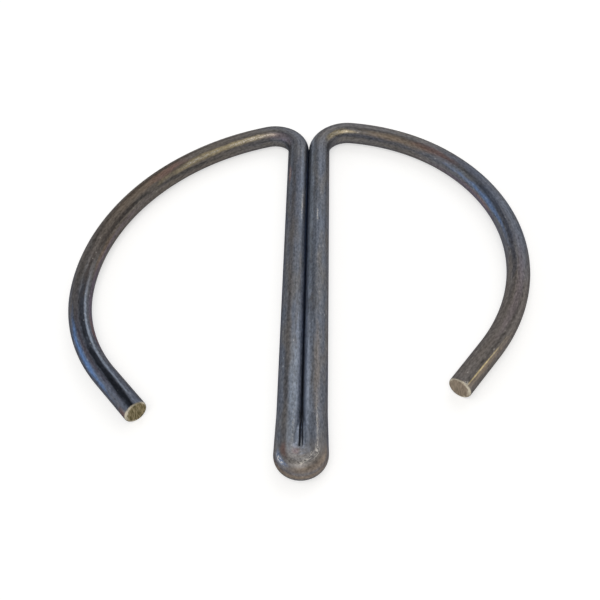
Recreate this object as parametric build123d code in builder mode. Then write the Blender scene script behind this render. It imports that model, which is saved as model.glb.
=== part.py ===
"""Socket retaining ring: one length of round spring wire folded double into a tongue.

The two wire ends leave the tongue at its shoulders and curve round as the two arms of a ring. The arms
grip the groove of an impact socket, and the tongue passes through the socket and the drive that it holds.

Units are millimetres. X runs across the ring, Y along the tongue away from the fold, and Z up.
The ring lies flat on Z = 0, with the middle of the tongue on the Y axis and the fold's bend at Y = 0.
"""

import os
from math import cos, radians, sin

from build123d import *

# Wire
wire_diameter = 2.8
end_edge_radius = 0.25

# Tongue: two legs pressed together, and a narrow slit between them next to the fold
leg_length = 43.4
leg_gap = 0.02
fold_gap = 0.30
eye_lean_angle = 1.5
eye_bend_radius = 40.0

# Metal squeezed up inside the fold and thinly along the slit, measured from the middle of the wire
web_half_height = 1.15
web_half_width = 0.85
web_reach = 1.1
slit_floor_half_height = 0.25

# Right arm, measured at the middle of the wire, from the shoulder to the cut end
right_shoulder_radius = 3.7
right_shoulder_angle = 100.4
right_upper_radius = 23.7
right_upper_angle = 33.3
right_lower_radius = 25.4
right_lower_angle = 81.8
right_tail_length = 6.6

# Left arm, which springs open a little wider than the right one
left_shoulder_radius = 3.5
left_shoulder_angle = 104.7
left_upper_radius = 28.9
left_upper_angle = 76.0
left_lower_radius = 21.5
left_lower_angle = 38.5
left_tail_length = 6.7

# Worked out from the sizes above
wire_radius = wire_diameter / 2
fold_radius = wire_radius + fold_gap / 2
eye_lean = radians(eye_lean_angle)
eye_bend_inset = eye_bend_radius - eye_bend_radius * cos(eye_lean)
eye_inset = fold_radius * cos(eye_lean) - eye_bend_inset - wire_radius - leg_gap / 2
eye_length = eye_inset / sin(eye_lean)
slit_length = eye_length + eye_bend_radius * eye_lean

right_arm_bends = (
    (right_shoulder_radius, right_shoulder_angle),
    (right_upper_radius, right_upper_angle),
    (right_lower_radius, right_lower_angle),
)
left_arm_bends = (
    (left_shoulder_radius, left_shoulder_angle),
    (left_upper_radius, left_upper_angle),
    (left_lower_radius, left_lower_angle),
)


def half_wire(side, arm_bends, tail_length):
    """Draw one half of the wire's middle line, from the fold's nose to the cut end, each stretch
    tangent to the one before it. The side is 1 to the right of the tongue and -1 to the left."""
    fold = JernArc((0, -fold_radius), (side, 0), fold_radius, side * (90 + eye_lean_angle))
    eye = PolarLine(fold @ 1, eye_length, direction=fold % 1)
    closing = JernArc(eye @ 1, eye % 1, eye_bend_radius, -side * eye_lean_angle)
    stretch = PolarLine(closing @ 1, leg_length, direction=closing % 1)
    for radius, angle in arm_bends:
        stretch = JernArc(stretch @ 1, stretch % 1, radius, -side * angle)
    PolarLine(stretch @ 1, tail_length, direction=stretch % 1)


# The wire: its round section carried from one cut end to the other
with BuildPart() as retaining_ring:
    with BuildLine(Plane.XY.offset(wire_radius)) as middle_line:
        half_wire(1, right_arm_bends, right_tail_length)
        half_wire(-1, left_arm_bends, left_tail_length)
    wire_path = middle_line.wire()
    with BuildSketch(Plane(origin=wire_path @ 0, z_dir=wire_path % 0)) as section:
        Circle(wire_radius)
    sweep(path=wire_path)

    # Edge break on the two sheared ends
    cut_ends = retaining_ring.faces().filter_by(GeomType.PLANE)
    fillet(cut_ends.edges(), end_edge_radius)

    # Metal squeezed up inside the fold: level over the bend, sloping down, then a thin floor in the slit
    with BuildSketch(Plane.YZ) as web_side:
        with BuildLine():
            Polyline(
                (-fold_radius, wire_radius - web_half_height),
                (0, wire_radius - web_half_height),
                (web_reach, wire_radius - slit_floor_half_height),
                (slit_length, wire_radius - slit_floor_half_height),
                (slit_length, wire_radius + slit_floor_half_height),
                (web_reach, wire_radius + slit_floor_half_height),
                (0, wire_radius + web_half_height),
                (-fold_radius, wire_radius + web_half_height),
                close=True,
            )
        make_face()
    extrude(amount=web_half_width, both=True)

retaining_ring.part.label = "retaining_ring"

os.makedirs("parts", exist_ok=True)
export_step(retaining_ring.part, "parts/retaining_ring.step")
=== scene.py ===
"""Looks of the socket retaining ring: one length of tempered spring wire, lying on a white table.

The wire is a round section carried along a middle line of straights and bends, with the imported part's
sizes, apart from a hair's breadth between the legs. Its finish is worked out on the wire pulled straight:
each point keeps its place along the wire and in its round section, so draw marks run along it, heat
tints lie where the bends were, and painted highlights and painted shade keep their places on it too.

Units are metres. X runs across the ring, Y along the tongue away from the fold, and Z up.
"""

from math import cos, pi, radians, sin

import bmesh
import bpy
import numpy as np
from mathutils import Matrix, Vector


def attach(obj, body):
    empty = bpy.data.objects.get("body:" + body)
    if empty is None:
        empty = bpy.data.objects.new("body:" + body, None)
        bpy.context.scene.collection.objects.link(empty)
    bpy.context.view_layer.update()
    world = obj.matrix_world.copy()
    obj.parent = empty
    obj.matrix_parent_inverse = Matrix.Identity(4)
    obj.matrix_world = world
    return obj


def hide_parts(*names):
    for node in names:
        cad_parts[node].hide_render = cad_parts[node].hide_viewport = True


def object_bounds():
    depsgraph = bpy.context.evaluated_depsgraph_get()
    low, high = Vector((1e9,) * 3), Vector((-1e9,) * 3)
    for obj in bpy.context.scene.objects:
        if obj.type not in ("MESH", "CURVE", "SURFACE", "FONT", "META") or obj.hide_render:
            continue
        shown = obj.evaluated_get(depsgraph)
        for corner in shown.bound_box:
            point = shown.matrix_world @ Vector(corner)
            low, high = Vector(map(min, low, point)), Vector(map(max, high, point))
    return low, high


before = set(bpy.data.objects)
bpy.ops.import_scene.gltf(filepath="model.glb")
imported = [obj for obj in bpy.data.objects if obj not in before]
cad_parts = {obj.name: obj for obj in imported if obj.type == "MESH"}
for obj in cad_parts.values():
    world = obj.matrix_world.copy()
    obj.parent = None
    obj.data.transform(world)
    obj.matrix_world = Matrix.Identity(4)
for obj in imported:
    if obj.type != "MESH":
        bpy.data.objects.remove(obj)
cad_low, cad_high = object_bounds()

MM = 0.001

# Wire and tongue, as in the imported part, but the legs lean a little more and lie closer by a hair, so that
# the joint between them is dark
WIRE_RADIUS = (cad_high.z - cad_low.z) / 2
END_EDGE_RADIUS = 0.25 * MM
LEG_LENGTH = 43.4 * MM
LEG_GAP = 0.004 * MM
FOLD_GAP = 0.30 * MM
FOLD_RADIUS = WIRE_RADIUS + FOLD_GAP / 2
EYE_LEAN = 1.6
EYE_BEND_RADIUS = 40 * MM

# Arms: radius and turn of each bend, from the shoulder to the cut end, and the straight tail
LEFT_BENDS = ((3.5 * MM, 104.7), (28.9 * MM, 76.0), (21.5 * MM, 38.5))
LEFT_TAIL = 6.7 * MM
RIGHT_BENDS = ((3.7 * MM, 100.4), (23.7 * MM, 33.3), (25.4 * MM, 81.8))
RIGHT_TAIL = 6.6 * MM

# Metal squeezed up inside the fold and between the legs next to it: where it leaves the wire, as an angle
# from the wire's top, over the bend, along the legs and where it runs out, and how far each of these goes
WEB_TOP_ANGLE = 12
WEB_LEG_ANGLE = 44
WEB_END_ANGLE = 86
WEB_SLOPE_LENGTH = 1.1 * MM
WEB_FULL_LENGTH = 2.4 * MM
WEB_LENGTH = 5.8 * MM

# The slit that is left in it: half width, depth, where it starts and is at its full depth, and the most
# that it may take of the metal's half width and height
SLIT_HALF_WIDTH = 0.24 * MM
SLIT_DEPTH = 0.55 * MM
SLIT_START = 0.25 * MM
SLIT_FULL = 0.75 * MM
SLIT_WIDTH_SHARE = 0.6
SLIT_DEPTH_SHARE = 0.7

# The flat floor of the slit: its share of the half width by the bend, and between which places it runs out
SLIT_FLOOR_SHARE = 0.35
SLIT_FLOOR_FADE = (1.0 * MM, 2.4 * MM)

# The squeezed metal's hem under the wire's skin: turns round the wire in degrees, and its depth there
HEM_TURNS = (7, 14, 21)
HEM_DEPTHS = (0.003 * MM, 0.012 * MM, 0.03 * MM)

# Unevenness of the drawn wire: depth, and each slow wave's length in metres per radian, turns and start
WAVE_DEPTH = 0.012 * MM
WAVES = ((1.9 * MM, 2, 0), (3.1 * MM, -3, 1))

# Mesh of the wire: the longest step and turn along it, steps round it, over a cut end and round its edge,
# and the length next to a cut end that is left to the edge's own steps
STEP_LENGTH = 0.3 * MM
STEP_TURN = 3.0
ROUND_STEPS = 64
CUT_STEPS = 8
EDGE_STEPS = 6
EDGE_ROOM = 1.5 * END_EDGE_RADIUS

# Mesh of the squeezed metal: steps along a leg, round the bend and out along a spoke, crowded at the slit
WEB_LEG_STEPS = 58
WEB_BEND_STEPS = 48
SPOKE_STEPS = 24
SPOKE_CROWDING = 1.5

# Points of a mesh that lie closer than this are merged
MERGE_DISTANCE = 0.0002 * MM

# Camera, from the photograph
PICTURE_WIDTH = 600
FOCAL_PIXELS = 1049.2
SENSOR_WIDTH = 36
CLIP_START = 1 * MM
CAMERA_PLACE = Vector((7.01, -61.89, 93.81)) * MM
CAMERA_PITCH = 47.67
CAMERA_YAW = 5.19
CAMERA_ROLL = -5.26

# Lamps: name, azimuth and height of the direction in degrees, distance, width, brightness, colour
LAMPS = (
    ("front_softbox", 188, 60, 0.60, 0.40, 2.4, (1.0, 0.95, 0.87)),
    ("back_softbox", 22, 38, 0.60, 0.55, 1.02, (1.0, 1.0, 1.0)),
    ("left_window", -100, 22, 0.60, 0.40, 0.9, (0.86, 0.93, 1.0)),
    ("right_lamp", 92, 16, 0.60, 0.10, 3.0, (1.0, 0.92, 0.78)),
)
WORLD_BRIGHTNESS = 0.45

# Table: its glow by the ring, between which distances that rises to full white, and its grey for the lamps
FLOOR_GLOW = 0.58
LAMP_LIT = (0.15, 0.70)
FLOOR_SHADE = 0.56

# Its shape: rings on the flat, where it starts to sweep up and how round, and steps of the mesh
FLAT_RINGS = (0.0, 0.1, 0.3, 0.6)
SWEEP_START = 1.2
SWEEP_RADIUS = 0.6
SWEEP_STEPS = 12
TABLE_STEPS = 96

# Tempering colours of steel, as the metal reflects them; some of them are painted highlights and painted
# shade
SLATE = (0.115, 0.129, 0.158)
MID_GREY = (0.142, 0.140, 0.142)
TAUPE = (0.146, 0.128, 0.114)
OLIVE_BROWN = (0.132, 0.114, 0.096)
# Straw tint, set bright as a painted gold highlight where the lamps shine
STRAW_AND_HIGHLIGHT = (0.56, 0.46, 0.26)
BRONZE = (0.23, 0.165, 0.105)
DARK_BROWN = (0.080, 0.064, 0.052)
RED_BROWN = (0.22, 0.115, 0.095)
VIOLET = (0.15, 0.115, 0.15)
BLUE = (0.085, 0.15, 0.29)
# Painted highlight in the blue tint
PAINTED_HIGHLIGHT_BLUE = (0.14, 0.26, 0.52)
# Painted light: pale blue for painted highlights and sheen lines, and on the legs' facing sides where shade
# falls
PAINTED_LIGHT_BLUE = (0.23, 0.27, 0.33)
# Painted light: pale slate on the legs' sides that face each other, where the other leg shades them
PAINTED_LIGHT_SLATE = (0.30, 0.34, 0.42)
# Painted light: pale grey on the floor of the slit, where shade falls
PAINTED_LIGHT_GREY = (0.34, 0.345, 0.34)
NAVY = (0.050, 0.058, 0.085)
# Painted shade: near black, for the dark reflection bands along the left arm
PAINTED_SHADE_BLACK = (0.016, 0.019, 0.026)
WARM_GREY = (0.24, 0.215, 0.195)
# Bare steel of rubbed grain and scuffs, also the colour of the painted glints
BARE_STEEL_AND_GLINTS = (0.62, 0.59, 0.54)
EDGE_TINT = (0.32, 0.32, 0.34, 1)

# Sheared ends: the two colours of the streaks on the left and the right one, and the pale burr, which also
# stands as a painted glint on the edge
BRASSY_CUT = ((0.098, 0.082, 0.038), (0.27, 0.225, 0.135))
GREY_CUT = ((0.195, 0.158, 0.118), (0.295, 0.243, 0.186))
CUT_RIM = (0.55, 0.50, 0.40)

# Marks on the straightened wire: width and length in millimetres, and detail of the noise
MOTTLE = (1.1, 5.0, 3)
DRAW_MARK = (0.26, 6.0, 2)
GRAIN = (0.22, 0.45, 2)
RAGGED = (0.45, 1.8, 3)
SPECK = (0.09, 0.24, 1)

# Grain of the metal pressed in the fold, which runs no way: size and detail
PRESSED_SIZE = 0.26 * MM
PRESSED_DETAIL = 2.0

# Ranges of the noise: slate going over to grey, grain rubbed bare and how strongly, and specks starting
GREY_MOTTLE = (0.38, 0.72)
RUBBED_GRAIN = (0.70, 0.82)
RUBBED_STRENGTH = 0.5
SPECK_START = (0.45, 0.58)

# How draw marks and grain scale the colour: base, share of each, and the mark's value where none is left
MARK_BASE = -0.20
DRAW_MARK_SHARE = 0.80
GRAIN_SHARE = 1.60
EVEN_MARK = 0.5

# Gloss and fine relief of the steel
METALLIC = 0.85
ROUGHNESS = 0.28
MOTTLE_ROUGHNESS = 0.15
GRAIN_ROUGHNESS = 0.10
RELIEF_DEPTH = 0.014 * MM
RELIEF_STRENGTH = 0.6
DRAW_MARK_RELIEF = 0.8

# Edge of a patch: the distances from its middle, 1 at its half size, where it starts to fade and is gone,
# once the ragged noise is added with its weight
SOFT_EDGE = (1.05, 2.35)
CRISP_EDGE = (1.40, 2.05)
EDGE_RAGGED = 1.5

# Edge of a zone, in shares of its half length
ZONE_EDGE_SHARES = (0.4, 1.4)

# Broad zones of colour: colour, place along the wire in millimetres, half length, strength
COLOUR_ZONES = (
    (OLIVE_BROWN, 42, 21, 0.85),
    (NAVY, 2, 18, 0.45),
    (TAUPE, 224, 15, 0.85),
    (OLIVE_BROWN, 181, 13, 0.55),
    (WARM_GREY, 117.6, 3.2, 0.55),
)

# Heat tints, and painted highlights and shade: colour, place along the wire in millimetres, angle round it
# from the top in degrees, slant in degrees per millimetre, half length, half angle, strength
LEFT_ARM_TINTS = (
    # Painted shade: these four near-black bands are dark reflection painted along the arm
    (PAINTED_SHADE_BLACK, 5, 2, -1.7, 8, 15, 0.97),
    (PAINTED_SHADE_BLACK, 18, -18, -1.0, 8, 14, 0.85),
    (PAINTED_SHADE_BLACK, 33, -41, -1.7, 8, 11, 0.60),
    (PAINTED_SHADE_BLACK, 46, -73, -2.4, 5, 11, 0.45),
    # Painted highlight: a pale sheen line beside the dark band
    (PAINTED_LIGHT_BLUE, 12, -30, -1.3, 10, 6, 0.50),
    (VIOLET, 20, -75, 0, 15, 14, 0.60),
    (WARM_GREY, 5, -60, 0, 5, 9, 0.35),
    (RED_BROWN, 13, -62, 0, 2.2, 11, 0.55),
    (BRONZE, 27.5, -62, 0, 4, 10, 0.50),
    (VIOLET, 11, 18, -1.5, 7, 9, 0.30),
    (DARK_BROWN, 19, 24, 0, 6, 30, 0.32),
    (BLUE, 9.8, 47, -2.3, 5.5, 14, 0.85),
    # Painted highlight in the blue band
    (PAINTED_HIGHLIGHT_BLUE, 11.3, 43, -2.3, 2.6, 5, 0.30),
    # Straw tint and painted gold highlight on the arm's top
    (STRAW_AND_HIGHLIGHT, 52.0, -43, 0.4, 8, 14, 0.50),
    (RED_BROWN, 43.6, -14, 0, 3.2, 20, 0.50),
    (BRONZE, 38.5, -5, 0, 5, 25, 0.35),
    (DARK_BROWN, 30, -24, 0, 8, 40, 0.58),
    (DARK_BROWN, 41, 12, 0, 6, 20, 0.50),
    (VIOLET, 62, -45, 0, 3, 22, 0.50),
    (RED_BROWN, 0.4, 75, 0, 0.8, 20, 0.50),
)
LEG_TINTS = (
    (NAVY, 76, 6, 0, 9, 30, 0.42),
    (NAVY, 92, -70, 0, 30, 14, 0.70),
    (TAUPE, 95, -14, 0, 28, 14, 0.45),
    # Painted light on the left leg's side that faces the right one, where shade falls
    (PAINTED_LIGHT_SLATE, 105, 44, 0, 10, 19, 0.66),
    # Painted highlights: this row and the next are pale sheen lines on the left leg
    (PAINTED_LIGHT_BLUE, 108, 18, 0, 6, 20, 0.45),
    (PAINTED_LIGHT_BLUE, 76, 30, 0, 8, 9, 0.30),
    (RED_BROWN, 71.6, -42, 0, 1.4, 10, 0.50),
    # Painted light on the right leg's side that faces the left one, where shade falls
    (PAINTED_LIGHT_SLATE, 129, 40, 0, 10, 25, 0.80),
    (WARM_GREY, 128, -18, 0, 8, 30, 0.12),
    # Painted light: these two rows make the floor of the slit pale, where shade falls
    (PAINTED_LIGHT_GREY, 122.5, 82, 0, 4, 13, 0.75),
    (PAINTED_LIGHT_GREY, 112.5, 82, 0, 4, 13, 0.75),
    # Painted light on both legs' facing sides, where shade falls
    (PAINTED_LIGHT_SLATE, 98, 56, 0, 14, 12, 0.55),
    (PAINTED_LIGHT_SLATE, 142, 56, 0, 14, 12, 0.55),
    (BLUE, 92, 78, 0, 24, 11, 0.60),
    (BLUE, 78, 68, 0, 14, 9, 0.65),
    (BLUE, 148, 78, 0, 24, 11, 0.60),
    # Painted light on the right leg's side that faces the left one, where shade falls
    (PAINTED_LIGHT_BLUE, 158, 46, 0, 18, 24, 0.48),
    (WARM_GREY, 145, -60, 0, 30, 14, 0.25),
    (BRONZE, 130, -9, 0, 6, 12, 0.20),
)
FOLD_TINTS = (
    (BLUE, 115.9, -40, 0, 0.7, 11, 0.65),
    (RED_BROWN, 115.3, -12, 0, 0.7, 12, 0.50),
    (RED_BROWN, 116.2, 38, 0, 1.0, 14, 0.40),
    (NAVY, 116.3, -62, 0, 1.2, 16, 0.40),
    (BRONZE, 118.8, -48, 0, 1.6, 18, 0.45),
    (BRONZE, 117.0, -84, 0, 2.4, 14, 0.50),
)
RIGHT_ARM_TINTS = (
    (NAVY, 200, 0, 0, 11, 24, 0.58),
    (SLATE, 206, 18, 0, 8, 32, 0.60),
    (DARK_BROWN, 219, -4, 0, 11, 22, 0.38),
    (NAVY, 184, -62, 0, 8, 15, 0.42),
    # Straw tint and painted gold highlight at the right shoulder
    (STRAW_AND_HIGHLIGHT, 173.7, -40, 0, 2.6, 15, 0.55),
    (NAVY, 176, -60, 0, 4, 12, 0.55),
    (BRONZE, 183, -38, 0, 4.5, 18, 0.45),
    (RED_BROWN, 189, -27, 0, 3.5, 17, 0.45),
    # Painted highlight on the right arm
    (PAINTED_LIGHT_BLUE, 192, -40, 0, 3, 8, 0.35),
    (BLUE, 200.5, -50, 0.6, 6.5, 12, 0.68),
    (RED_BROWN, 199, -78, 0, 4, 9, 0.40),
    (VIOLET, 197, -98, 0, 8, 16, 0.55),
    (NAVY, 206, -25, 0, 9, 12, 0.60),
    (VIOLET, 217, 12, 0, 7, 18, 0.25),
    (NAVY, 217, -86, 0, 8, 14, 0.50),
    (BRONZE, 229.0, 54, -1.0, 5, 9, 0.35),
    # Straw tint and a thin painted gold highlight line
    (STRAW_AND_HIGHLIGHT, 229.6, 41, -1.0, 3.8, 3.5, 0.90),
)
TINTS_AND_PAINTED_LIGHT = (*LEFT_ARM_TINTS, *LEG_TINTS, *FOLD_TINTS, *RIGHT_ARM_TINTS)

# Scuffs where specks of bare steel show, some set as painted glints and sheen where highlights fall: place,
# angle, slant, half length, half angle, strength
SCUFFS_AND_GLINTS = (
    # Scuffs with painted sparkle where the gold highlight falls
    (49.0, -44, 0, 3.0, 6, 0.90),
    (56.5, -42, 0.5, 3.0, 7, 0.90),
    (71.6, -44, 0, 1.0, 6, 0.35),
    # Painted sheen lines on the left leg
    (78.0, 35, 0, 2.5, 4, 0.50),
    (112.5, 28, 0, 3.5, 6, 0.25),
    (115.9, -42, 0, 0.5, 8, 0.80),
    (117.8, 0, 0, 1.3, 24, 0.32),
    (118.2, -8, 13, 0.9, 8, 0.75),
    (119.6, -14, 10, 0.7, 8, 0.60),
    (124.0, -11, 0, 3.5, 4, 0.35),
    (155.5, 0, 0, 1.0, 5, 0.60),
    # Scuff with painted sparkle in the right gold highlight
    (173.9, -41, 0, 1.6, 7, 0.80),
    # Painted glint on the right cut end's edge
    (232.3, 28, 0, 0.35, 12, 1.00),
)

# The fold, where pressing took the draw marks away, as a patch like a scuff
PRESSED_FOLD = (117.6, 0, 0, 2.6, 170, 1.0)

# Cut faces: the shift, in millimetres, that makes the burr wider on one side, as a painted glint where the
# edge catches the light, how ragged its inner edge is, and between which shares of the radius the burr rises
# and the face goes over to the wire's skin
CUT_SHIFT = (0, 0.16, -0.04)
CUT_RAGGED = 0.5
BURR_SHARES = (1.00, 1.14)
CUT_FACE_SHARES = (0.93, 0.99)

# Streaks of the shear: how many to a millimetre along, aside and up, detail, their range in the noise, and
# between which places along the wire, in millimetres, the left end's colours go over to the right end's
SHEAR_STREAKS = (0, 7, 1.2)
SHEAR_DETAIL = 2.0
STREAK_RANGE = (0.35, 0.65)
ARM_CHANGE = (50, 150)

# Burr: scale and detail of its gaps, their range in the noise, its strength there and elsewhere, and how
# far from the end it starts and ends on the wire's skin, in millimetres
BURR_SCALE = 0.9
BURR_DETAIL = 1.0
BURR_RANGE = (0.38, 0.60)
BURR_STRENGTHS = (0.25, 1.0)
BURR_START = (0, 0.05)
BURR_END = (0.08, 0.26)


def middle_line():
    """The wire's middle line from the left cut end to the right one. Each stretch has one length and one
    turn. The heading is the running sum of the turns, and the points are the running sum of the chords:
    a step of length h that turns by t moves h sin(t/2)/(t/2) along the heading half way through it.
    The line is then set down with the fold's nose at its place, heading along +X."""
    lean = radians(EYE_LEAN)
    eye_inset = FOLD_RADIUS * cos(lean) - EYE_BEND_RADIUS * (1 - cos(lean)) - WIRE_RADIUS - LEG_GAP / 2
    leg = [(eye_inset / sin(lean), 0), (EYE_BEND_RADIUS * lean, -EYE_LEAN), (LEG_LENGTH, 0)]
    fold = (FOLD_RADIUS * radians(90 + EYE_LEAN), 90 + EYE_LEAN)
    left = [(radius * radians(turn), -turn) for radius, turn in LEFT_BENDS]
    right = [(radius * radians(turn), -turn) for radius, turn in RIGHT_BENDS]
    to_nose = [(LEFT_TAIL, 0), *reversed(left), *reversed(leg), fold]
    stretches = np.array([*to_nose, fold, *leg, *right, (RIGHT_TAIL, 0)])
    steps = np.maximum(stretches[:, 0] / STEP_LENGTH, abs(stretches[:, 1]) / STEP_TURN)
    steps = np.ceil(steps).astype(int)
    length = np.repeat(stretches[:, 0] / steps, steps)
    turn = np.radians(np.repeat(stretches[:, 1] / steps, steps))
    nose = steps[: len(to_nose)].sum()
    heading = np.concatenate(([0.0], np.cumsum(turn)))
    heading -= heading[nose]
    mid_heading = (heading[1:] + heading[:-1]) / 2
    chord = length * np.sinc(turn / (2 * pi))
    walk = np.stack((chord * np.cos(mid_heading), chord * np.sin(mid_heading)), axis=1)
    points = np.concatenate((np.zeros((1, 2)), np.cumsum(walk, axis=0)))
    points += np.array((0.0, -FOLD_RADIUS)) - points[nose]
    along = np.concatenate(([0.0], np.cumsum(length)))
    return along, points, heading, along[nose]


def wire_stations(along):
    """Places along the wire and the section's radius there: flat over each cut end, a quarter round at
    its edge, and the full radius between."""
    edge = np.linspace(0, pi / 2, EDGE_STEPS + 1)
    flat = np.linspace(0, 1, CUT_STEPS, endpoint=False) * (WIRE_RADIUS - END_EDGE_RADIUS)
    rounding = END_EDGE_RADIUS * (1 - np.cos(edge))
    reach = WIRE_RADIUS - END_EDGE_RADIUS * (1 - np.sin(edge))
    body = along[(along > EDGE_ROOM) & (along < along[-1] - EDGE_ROOM)]
    start = np.concatenate((np.zeros(len(flat)), rounding))
    start_reach = np.concatenate((flat, reach))
    place = np.concatenate((start, body, along[-1] - start[::-1]))
    radius = np.concatenate((start_reach, np.full(len(body), WIRE_RADIUS), start_reach[::-1]))
    return place, radius


def ease(value, low, high):
    """A smooth step: 0 up to low, 1 from high on, and 3 t squared - 2 t cubed between."""
    share = np.clip((value - low) / (high - low), 0, 1)
    return share * share * (3 - 2 * share)


def grid_faces(index):
    """Four-sided faces between the neighbouring rows and columns of a grid of point numbers."""
    corners = (index[:-1, :-1], index[1:, :-1], index[1:, 1:], index[:-1, 1:])
    return np.stack(corners, axis=-1).reshape(-1, 4).tolist()


def new_piece(name, points, straight, faces):
    """A closed smooth mesh. Each point also keeps where it lies on the wire pulled straight, as the
    attribute straight. Points that fall together are merged, which closes seams and poles."""
    mesh = bpy.data.meshes.new(name)
    mesh.from_pydata(points.reshape(-1, 3), [], faces)
    place = mesh.attributes.new("straight", "FLOAT_VECTOR", "POINT")
    place.data.foreach_set("vector", straight.astype(np.float32).ravel())
    work = bmesh.new()
    work.from_mesh(mesh)
    bmesh.ops.remove_doubles(work, verts=work.verts, dist=MERGE_DISTANCE)
    bmesh.ops.recalc_face_normals(work, faces=work.faces)
    work.to_mesh(mesh)
    work.free()
    mesh.shade_smooth()
    piece = bpy.data.objects.new(name, mesh)
    bpy.context.scene.collection.objects.link(piece)
    return piece


def wire(along, line, heading, nose):
    """The wire: at each station a circle square to the middle line, with sin(angle) of the radius to the
    left of travel and cos(angle) of it upwards. The drawn surface is a little uneven, by slow waves along
    the wire that only ever take metal away, most on top and below, and none at its sides or by the fold."""
    place, radius = wire_stations(along)
    angle = np.linspace(0, 2 * pi, ROUND_STEPS, endpoint=False)
    x, y = (np.interp(place, along, line[:, axis])[:, None] for axis in (0, 1))
    course = np.interp(place, along, heading)[:, None]
    place, radius = place[:, None], radius[:, None]
    wave = sum(np.sin(place / length + turns * angle + start) for length, turns, start in WAVES)
    worn = (len(WAVES) + wave) / (2 * len(WAVES)) * np.cos(angle) ** 2
    depth = WAVE_DEPTH * ease(abs(place - nose), WEB_LENGTH, 2 * WEB_LENGTH)
    reach = radius * (1 - depth / WIRE_RADIUS * worn)
    aside, up = reach * np.sin(angle), reach * np.cos(angle)
    across, ahead = x - aside * np.sin(course), y + aside * np.cos(course)
    points = np.stack((across, ahead, WIRE_RADIUS + up), axis=-1)
    straight = np.stack((np.broadcast_to(place, aside.shape), aside, up), axis=-1)
    index = np.arange(aside.size).reshape(aside.shape)
    closed = np.concatenate((index, index[:, :1]), axis=1)
    return new_piece("spring_wire", points, straight, grid_faces(closed))


def web_spokes(along, line, nose):
    """Spokes of the squeezed metal: down the left leg, round the bend, and up the right leg. Each has the
    angle at which it meets the wire, how far up the legs it starts, the distance from its start to the
    wire's middle, and its turn, from 0 towards the left leg to pi towards the right one."""
    leg_start = np.linspace(0, WEB_LENGTH, WEB_LEG_STEPS + 1)
    slope = (WEB_LEG_ANGLE - WEB_TOP_ANGLE) * ease(leg_start, 0, WEB_SLOPE_LENGTH)
    run_out = (WEB_END_ANGLE - WEB_LEG_ANGLE) * ease(leg_start, WEB_FULL_LENGTH, WEB_LENGTH)
    leg_angle = np.radians(WEB_TOP_ANGLE + slope + run_out)
    right_leg = (along > nose + FOLD_RADIUS * pi / 2) & (along < nose + 2 * WEB_LENGTH)
    leg_middle = np.interp(leg_start, line[right_leg, 1], line[right_leg, 0])
    bend_turn = np.linspace(0, pi, WEB_BEND_STEPS + 1)
    bend = np.zeros_like(bend_turn)
    meet = np.concatenate((leg_angle[:0:-1], bend + radians(WEB_TOP_ANGLE), leg_angle[1:]))
    start = np.concatenate((leg_start[:0:-1], bend, leg_start[1:]))
    middle = np.concatenate((leg_middle[:0:-1], bend + FOLD_RADIUS, leg_middle[1:]))
    turn = np.concatenate((np.zeros(WEB_LEG_STEPS), bend_turn, np.full(WEB_LEG_STEPS, pi)))
    return meet, start, middle, turn


def web_profile(meet, start, middle):
    """How far out and how high the points of each spoke lie. A spoke that meets the wire at the angle t
    from the wire's top has the length R - r sin t, with R its distance to the wire's middle and r the
    wire's radius. It rises along a round hollow of the radius length / sin t, so at its end it has the
    wire's own slope. Between the legs a narrow slit is sunk into its middle by a smooth step. From its end
    the spoke runs on round the wire as a hem, just under its skin, so that no seam shows."""
    reach = middle - WIRE_RADIUS * np.sin(meet)
    hollow = reach / np.sin(meet)
    out = np.linspace(0, 1, SPOKE_STEPS + 1)[:, None] ** SPOKE_CROWDING * reach
    rise = WIRE_RADIUS * np.cos(meet) - (np.sqrt(hollow**2 - out**2) - hollow * np.cos(meet))
    depth = np.minimum(SLIT_DEPTH * ease(start, SLIT_START, SLIT_FULL), SLIT_DEPTH_SHARE * rise[0])
    half_width = np.minimum(SLIT_HALF_WIDTH, SLIT_WIDTH_SHARE * reach)
    floor = SLIT_FLOOR_SHARE * (1 - ease(start, *SLIT_FLOOR_FADE)) * half_width
    rise = rise - depth * (1 - ease(out, floor, half_width))
    hem_angle = meet - np.radians(HEM_TURNS)[:, None]
    hem_radius = WIRE_RADIUS - np.array(HEM_DEPTHS)[:, None]
    out = np.concatenate((out, middle - hem_radius * np.sin(hem_angle)))
    rise = np.concatenate((rise, hem_radius * np.cos(hem_angle)))
    return out, rise


def fold_web(along, line, nose):
    """The metal squeezed up inside the fold, a shallow dish that runs smoothly into the wire and on between
    the legs: each spoke's profile, set down from the spoke's start along its turn. The under side is the
    same, upside down, and the ends are closed at the middle of the wire's height."""
    meet, start, middle, turn = web_spokes(along, line, nose)
    out, rise = web_profile(meet, start, middle)
    x, y = -out * np.cos(turn), start - out * np.sin(turn)
    place = nose - (pi / 2 - turn) * FOLD_RADIUS + np.sign(turn - pi / 2) * start
    place, aside = np.broadcast_to(place, x.shape), middle - out
    upper, lower = (np.stack((x, y, WIRE_RADIUS + side * rise), axis=-1) for side in (1, -1))
    upper_place, lower_place = (np.stack((place, aside, side * rise), axis=-1) for side in (1, -1))
    shell = np.concatenate((upper, lower[::-1]))
    straight = np.concatenate((upper_place, lower_place[::-1]))
    ends = shell[:, [0, -1]] * (1, 1, 0) + np.array((0, 0, WIRE_RADIUS))
    shell = np.concatenate((ends[:, :1], shell, ends[:, 1:]), axis=1)
    straight = np.concatenate((straight[:, :1], straight, straight[:, -1:]), axis=1)
    rows, columns = shell.shape[:2]
    index = np.arange(rows * columns).reshape(rows, columns)
    return new_piece("fold_web", shell, straight, grid_faces(index))


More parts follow.
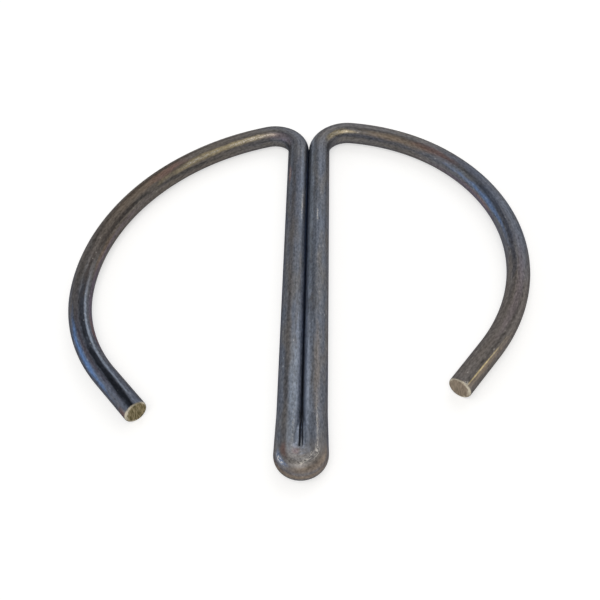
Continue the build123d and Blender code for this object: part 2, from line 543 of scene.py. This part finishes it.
def add_node(tree, kind, inputs=None, **settings):
    """One shader node. Its settings are set, then each input takes a value or a link from a socket."""
    made = tree.nodes.new("ShaderNode" + kind)
    for name, value in settings.items():
        setattr(made, name, value)
    for name, value in (inputs or {}).items():
        if isinstance(value, bpy.types.NodeSocket):
            tree.links.new(value, made.inputs[name])
        else:
            made.inputs[name].default_value = value
    return made


def calculate(tree, operation, *values):
    """The result of a calculation on one to three values."""
    return add_node(tree, "Math", dict(enumerate(values)), operation=operation).outputs[0]


def combine(tree, operation, *vectors):
    """The vector that a calculation on two vectors gives."""
    return add_node(tree, "VectorMath", dict(enumerate(vectors)), operation=operation).outputs["Vector"]


def measure(tree, operation, *vectors):
    """The number that a calculation on one or two vectors gives."""
    return add_node(tree, "VectorMath", dict(enumerate(vectors)), operation=operation).outputs["Value"]


def noise(tree, place, scale, detail):
    """Noise of the given scale and detail."""
    return add_node(tree, "TexNoise", {"Vector": place, "Scale": scale, "Detail": detail}).outputs["Fac"]


def stretched_noise(tree, place, width, length, detail):
    """Noise on the straightened wire, with marks of about that width and length in millimetres."""
    return noise(tree, combine(tree, "MULTIPLY", place, (1 / length, 1 / width, 1 / width)), 1.0, detail)


def mix_value(tree, factor, a, b):
    """Value a going over to value b."""
    return add_node(tree, "Mix", {0: factor, 2: a, 3: b}).outputs[0]


def remap(tree, value, low, high, to_low=0.0, to_high=1.0):
    """A value moved smoothly from one range to another, and held at its ends."""
    inputs = {"Value": value, "From Min": low, "From Max": high, "To Min": to_low, "To Max": to_high}
    return add_node(tree, "MapRange", inputs, interpolation_type="SMOOTHSTEP").outputs["Result"]


def add(tree, a, b, scale=1.0):
    """The value a plus the value b times a scale."""
    return calculate(tree, "MULTIPLY_ADD", b, scale, a)


def mix_colour(tree, factor, a, b):
    """Colour a going over to colour b."""
    mix = tree.nodes.new("ShaderNodeMix")
    mix.data_type = "RGBA"
    for socket, value in ((mix.inputs[0], factor), (mix.inputs[6], a), (mix.inputs[7], b)):
        if isinstance(value, bpy.types.NodeSocket):
            tree.links.new(value, socket)
        elif socket.type == "RGBA":
            socket.default_value = (*value, 1)
        else:
            socket.default_value = value
    return mix.outputs[2]


def new_material(name):
    """An empty material, its node tree and its output."""
    material = bpy.data.materials.new(name)
    material.use_nodes = True
    material.node_tree.nodes.clear()
    return material, material.node_tree, material.node_tree.nodes.new("ShaderNodeOutputMaterial")


def patch(tree, unrolled, ragged, edge, along, turn, slant, half_length, half_turn, strength):
    """How strongly a patch on the wire shows, from its strength in its middle to 0 outside it. It is an
    oval on the unrolled wire, sheared by its slant, with a ragged edge that is soft or crisp. The place on
    the unrolled wire is (along, angle, 1), so each of the oval's two coordinates is one dot product."""
    lengthwise = (1 / half_length, 0, -along / half_length)
    crosswise = (-slant / half_turn, 1 / half_turn, (slant * along - turn) / half_turn)
    u = measure(tree, "DOT_PRODUCT", unrolled, lengthwise)
    v = measure(tree, "DOT_PRODUCT", unrolled, crosswise)
    off = measure(tree, "LENGTH", add_node(tree, "CombineXYZ", {"X": u, "Y": v}).outputs[0])
    return remap(tree, add(tree, off, ragged, EDGE_RAGGED), *edge, strength, 0)


def tinted_with_painted_light(tree, along, unrolled, mottle, ragged):
    """Steel mottled slate and grey, with broad zones of colour over it, and heat tints, painted highlights
    and painted shade over those.
    """
    colour = mix_colour(tree, remap(tree, mottle, *GREY_MOTTLE), SLATE, MID_GREY)
    for tint, middle, half_length, strength in COLOUR_ZONES:
        off = calculate(tree, "ABSOLUTE", calculate(tree, "SUBTRACT", along, middle))
        edge = (share * half_length for share in ZONE_EDGE_SHARES)
        colour = mix_colour(tree, remap(tree, off, *edge, strength, 0), colour, tint)
    for tint, *shape in TINTS_AND_PAINTED_LIGHT:
        # The painted shade bands get crisp edges
        edge = CRISP_EDGE if tint == PAINTED_SHADE_BLACK else SOFT_EDGE
        colour = mix_colour(tree, patch(tree, unrolled, ragged, edge, *shape), colour, tint)
    return colour


def bare_steel_and_glints(tree, unrolled, grain, speck, ragged):
    """How much bare steel shows: a little where the grain is highest, and fine specks in the scuffs, some of
    which are painted glints and sheen.
    """
    bare = remap(tree, grain, *RUBBED_GRAIN, 0, RUBBED_STRENGTH)
    specks = remap(tree, speck, *SPECK_START)
    for shape in SCUFFS_AND_GLINTS:
        inputs = {0: patch(tree, unrolled, ragged, SOFT_EDGE, *shape), 1: specks, 2: bare}
        bare = add_node(tree, "Math", inputs, operation="MULTIPLY_ADD", use_clamp=True).outputs[0]
    return bare


def cut_ends(tree, colour, place, ragged, wire_length):
    """The steel's colour with the sheared ends put in: a streaked face, brassy on the left end and grey on
    the right one, and round it a pale burr with gaps, wider on one side as a painted glint, that laps over
    the edge."""
    along, aside, up = add_node(tree, "SeparateXYZ", {0: place}).outputs
    section = add_node(tree, "CombineXYZ", {"Y": aside, "Z": up}).outputs[0]
    rim = WIRE_RADIUS / MM
    streak = noise(tree, combine(tree, "MULTIPLY", section, SHEAR_STREAKS), 1.0, SHEAR_DETAIL)
    streak = remap(tree, streak, *STREAK_RANGE)
    left_cut, right_cut = (mix_colour(tree, streak, *colours) for colours in (BRASSY_CUT, GREY_CUT))
    cut = mix_colour(tree, remap(tree, along, *ARM_CHANGE), left_cut, right_cut)

    burr = remap(tree, noise(tree, section, BURR_SCALE, BURR_DETAIL), *BURR_RANGE, *BURR_STRENGTHS)
    off_centre = measure(tree, "LENGTH", combine(tree, "ADD", section, CUT_SHIFT))
    off_centre = add(tree, off_centre, ragged, CUT_RAGGED)
    burr_rise = (share * rim for share in BURR_SHARES)
    cut = mix_colour(tree, remap(tree, off_centre, *burr_rise, 0, burr), cut, CUT_RIM)
    face_edge = (share * rim for share in CUT_FACE_SHARES)
    face = remap(tree, measure(tree, "LENGTH", section), *face_edge, 1, 0)
    colour = mix_colour(tree, face, colour, cut)

    far_end = calculate(tree, "SUBTRACT", wire_length / MM, along)
    from_end = calculate(tree, "MINIMUM", along, far_end)
    lap = remap(tree, from_end, *BURR_END, burr, 0)
    lap = calculate(tree, "MULTIPLY", lap, remap(tree, from_end, *BURR_START))
    return mix_colour(tree, lap, colour, CUT_RIM)


def tempered_steel(wire_length):
    """Dark tempered steel: heat tints where the wire was bent, painted highlights and painted shade, draw
    marks and grain, scuffs of bare steel with painted glints among them, and sheared ends. The marks lie on
    the wire pulled straight, and in the fold a pressed grain takes their place."""
    material, tree, output = new_material("tempered_spring_steel")
    place = add_node(tree, "Attribute", attribute_name="straight").outputs["Vector"]
    place = combine(tree, "MULTIPLY", place, (1 / MM, 1 / MM, 1 / MM))
    along, aside, up = add_node(tree, "SeparateXYZ", {0: place}).outputs
    turn = calculate(tree, "DEGREES", calculate(tree, "ARCTAN2", aside, up))
    unrolled = add_node(tree, "CombineXYZ", {"X": along, "Y": turn, "Z": 1.0}).outputs[0]
    marks = (MOTTLE, DRAW_MARK, GRAIN, RAGGED, SPECK)
    mottle, draw_mark, grain, ragged, speck = (stretched_noise(tree, place, *mark) for mark in marks)
    pressed = noise(tree, add_node(tree, "TexCoord").outputs["Object"], 1 / PRESSED_SIZE, PRESSED_DETAIL)
    fold = patch(tree, unrolled, ragged, SOFT_EDGE, *PRESSED_FOLD)
    draw_mark = mix_value(tree, fold, draw_mark, EVEN_MARK)
    grain = mix_value(tree, fold, grain, pressed)

    colour = tinted_with_painted_light(tree, along, unrolled, mottle, ragged)
    shade = add(tree, add(tree, MARK_BASE, draw_mark, DRAW_MARK_SHARE), grain, GRAIN_SHARE)
    colour = add_node(tree, "VectorMath", {0: colour, "Scale": shade}, operation="SCALE").outputs[0]
    colour = mix_colour(tree, bare_steel_and_glints(tree, unrolled, grain, speck, ragged), colour, BARE_STEEL_AND_GLINTS)
    colour = cut_ends(tree, colour, place, ragged, wire_length)

    rough = add(tree, add(tree, ROUGHNESS, mottle, MOTTLE_ROUGHNESS), grain, GRAIN_ROUGHNESS)
    height = add(tree, grain, draw_mark, DRAW_MARK_RELIEF)
    inputs = {"Height": height, "Strength": RELIEF_STRENGTH, "Distance": RELIEF_DEPTH}
    relief = add_node(tree, "Bump", inputs).outputs[0]
    inputs = {"Base Color": colour, "Roughness": rough, "Normal": relief, "Metallic": METALLIC}
    shader = add_node(tree, "BsdfPrincipled", {**inputs, "Specular Tint": EDGE_TINT})
    tree.links.new(shader.outputs[0], output.inputs["Surface"])
    return material


def white_table():
    """White floor. It glows for the camera and the metal alone, most where it is far from the lamps, and it
    also takes the lamps' light, so the wire's soft shadow stays on it."""
    material, tree, output = new_material("white_table")
    path = tree.nodes.new("ShaderNodeLightPath")
    seen = add(tree, path.outputs["Is Camera Ray"], path.outputs["Is Glossy Ray"])
    seen = add(tree, seen, path.outputs["Is Transmission Ray"])
    away = measure(tree, "LENGTH", add_node(tree, "TexCoord").outputs["Object"])
    glow = calculate(tree, "MULTIPLY", seen, remap(tree, away, *LAMP_LIT, FLOOR_GLOW, 1))
    emission = add_node(tree, "Emission", {"Color": (1, 1, 1, 1), "Strength": glow})
    diffuse = add_node(tree, "BsdfDiffuse", {"Color": (FLOOR_SHADE, FLOOR_SHADE, FLOOR_SHADE, 1)})
    both = add_node(tree, "AddShader", {0: emission.outputs[0], 1: diffuse.outputs[0]})
    tree.links.new(both.outputs[0], output.inputs["Surface"])
    return material


def table():
    """A flat white table under the ring that sweeps up as a backdrop far from it: a profile of radius and
    height, flat and then a quarter round, turned about Z."""
    sweep = np.linspace(0, pi / 2, SWEEP_STEPS + 1)
    radius = np.concatenate((FLAT_RINGS, SWEEP_START + SWEEP_RADIUS * np.sin(sweep)))
    height = np.concatenate((np.zeros(len(FLAT_RINGS)), SWEEP_RADIUS * (1 - np.cos(sweep))))
    turn = np.linspace(0, 2 * pi, TABLE_STEPS + 1)
    x, y = np.outer(radius, np.cos(turn)), np.outer(radius, np.sin(turn))
    points = np.stack((x, y, np.broadcast_to(height[:, None], x.shape)), axis=-1)
    mesh = bpy.data.meshes.new("table")
    mesh.from_pydata(points.reshape(-1, 3), [], grid_faces(np.arange(x.size).reshape(x.shape)))
    mesh.shade_smooth()
    piece = bpy.data.objects.new("table", mesh)
    bpy.context.scene.collection.objects.link(piece)
    mesh.materials.append(white_table())


def soft_lamp(name, azimuth, height, distance, width, brightness, colour):
    """A square lamp that faces the ring. Azimuth 0 is behind the ring, along +Y, and 90 is along +X.
    Its power grows with its area, so the metal mirrors it equally bright at any width."""
    lamp = bpy.data.lights.new(name, "AREA")
    lamp.size = width
    lamp.energy = brightness * pi * width**2
    lamp.color = colour
    holder = bpy.data.objects.new(name, lamp)
    bpy.context.scene.collection.objects.link(holder)
    a, h = radians(azimuth), radians(height)
    way = Vector((sin(a) * cos(h), cos(a) * cos(h), sin(h)))
    middle = (cad_low + cad_high) / 2
    holder.location = middle + way * distance
    holder.rotation_euler = way.to_track_quat("Z", "Y").to_euler()


def white_world():
    """Even white light from all round."""
    world = bpy.data.worlds.new("studio")
    world.use_nodes = True
    background = world.node_tree.nodes["Background"]
    background.inputs["Color"].default_value = (1, 1, 1, 1)
    background.inputs["Strength"].default_value = WORLD_BRIGHTNESS
    bpy.context.scene.world = world


def place_camera():
    """The camera at the photograph's place, turned left by the yaw, down by the pitch, and rolled."""
    camera = bpy.data.cameras.new("camera")
    camera.sensor_width = SENSOR_WIDTH
    camera.lens = FOCAL_PIXELS / PICTURE_WIDTH * SENSOR_WIDTH
    camera.clip_start = CLIP_START
    holder = bpy.data.objects.new("camera", camera)
    bpy.context.scene.collection.objects.link(holder)
    yaw = Matrix.Rotation(radians(CAMERA_YAW), 4, "Z")
    pitch = Matrix.Rotation(radians(90 - CAMERA_PITCH), 4, "X")
    roll = Matrix.Rotation(radians(CAMERA_ROLL), 4, "Z")
    holder.matrix_world = Matrix.Translation(CAMERA_PLACE) @ (yaw @ pitch @ roll)
    bpy.context.scene.camera = holder


along, line, heading, nose = middle_line()
steel = tempered_steel(along[-1])
ring_wire = wire(along, line, heading, nose)
web = fold_web(along, line, nose)
for piece in (ring_wire, web):
    piece.data.materials.append(steel)
    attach(piece, "root")
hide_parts("retaining_ring")

table()
for lamp in LAMPS:
    soft_lamp(*lamp)
white_world()
bpy.context.scene.view_settings.view_transform = "Standard"
place_camera()
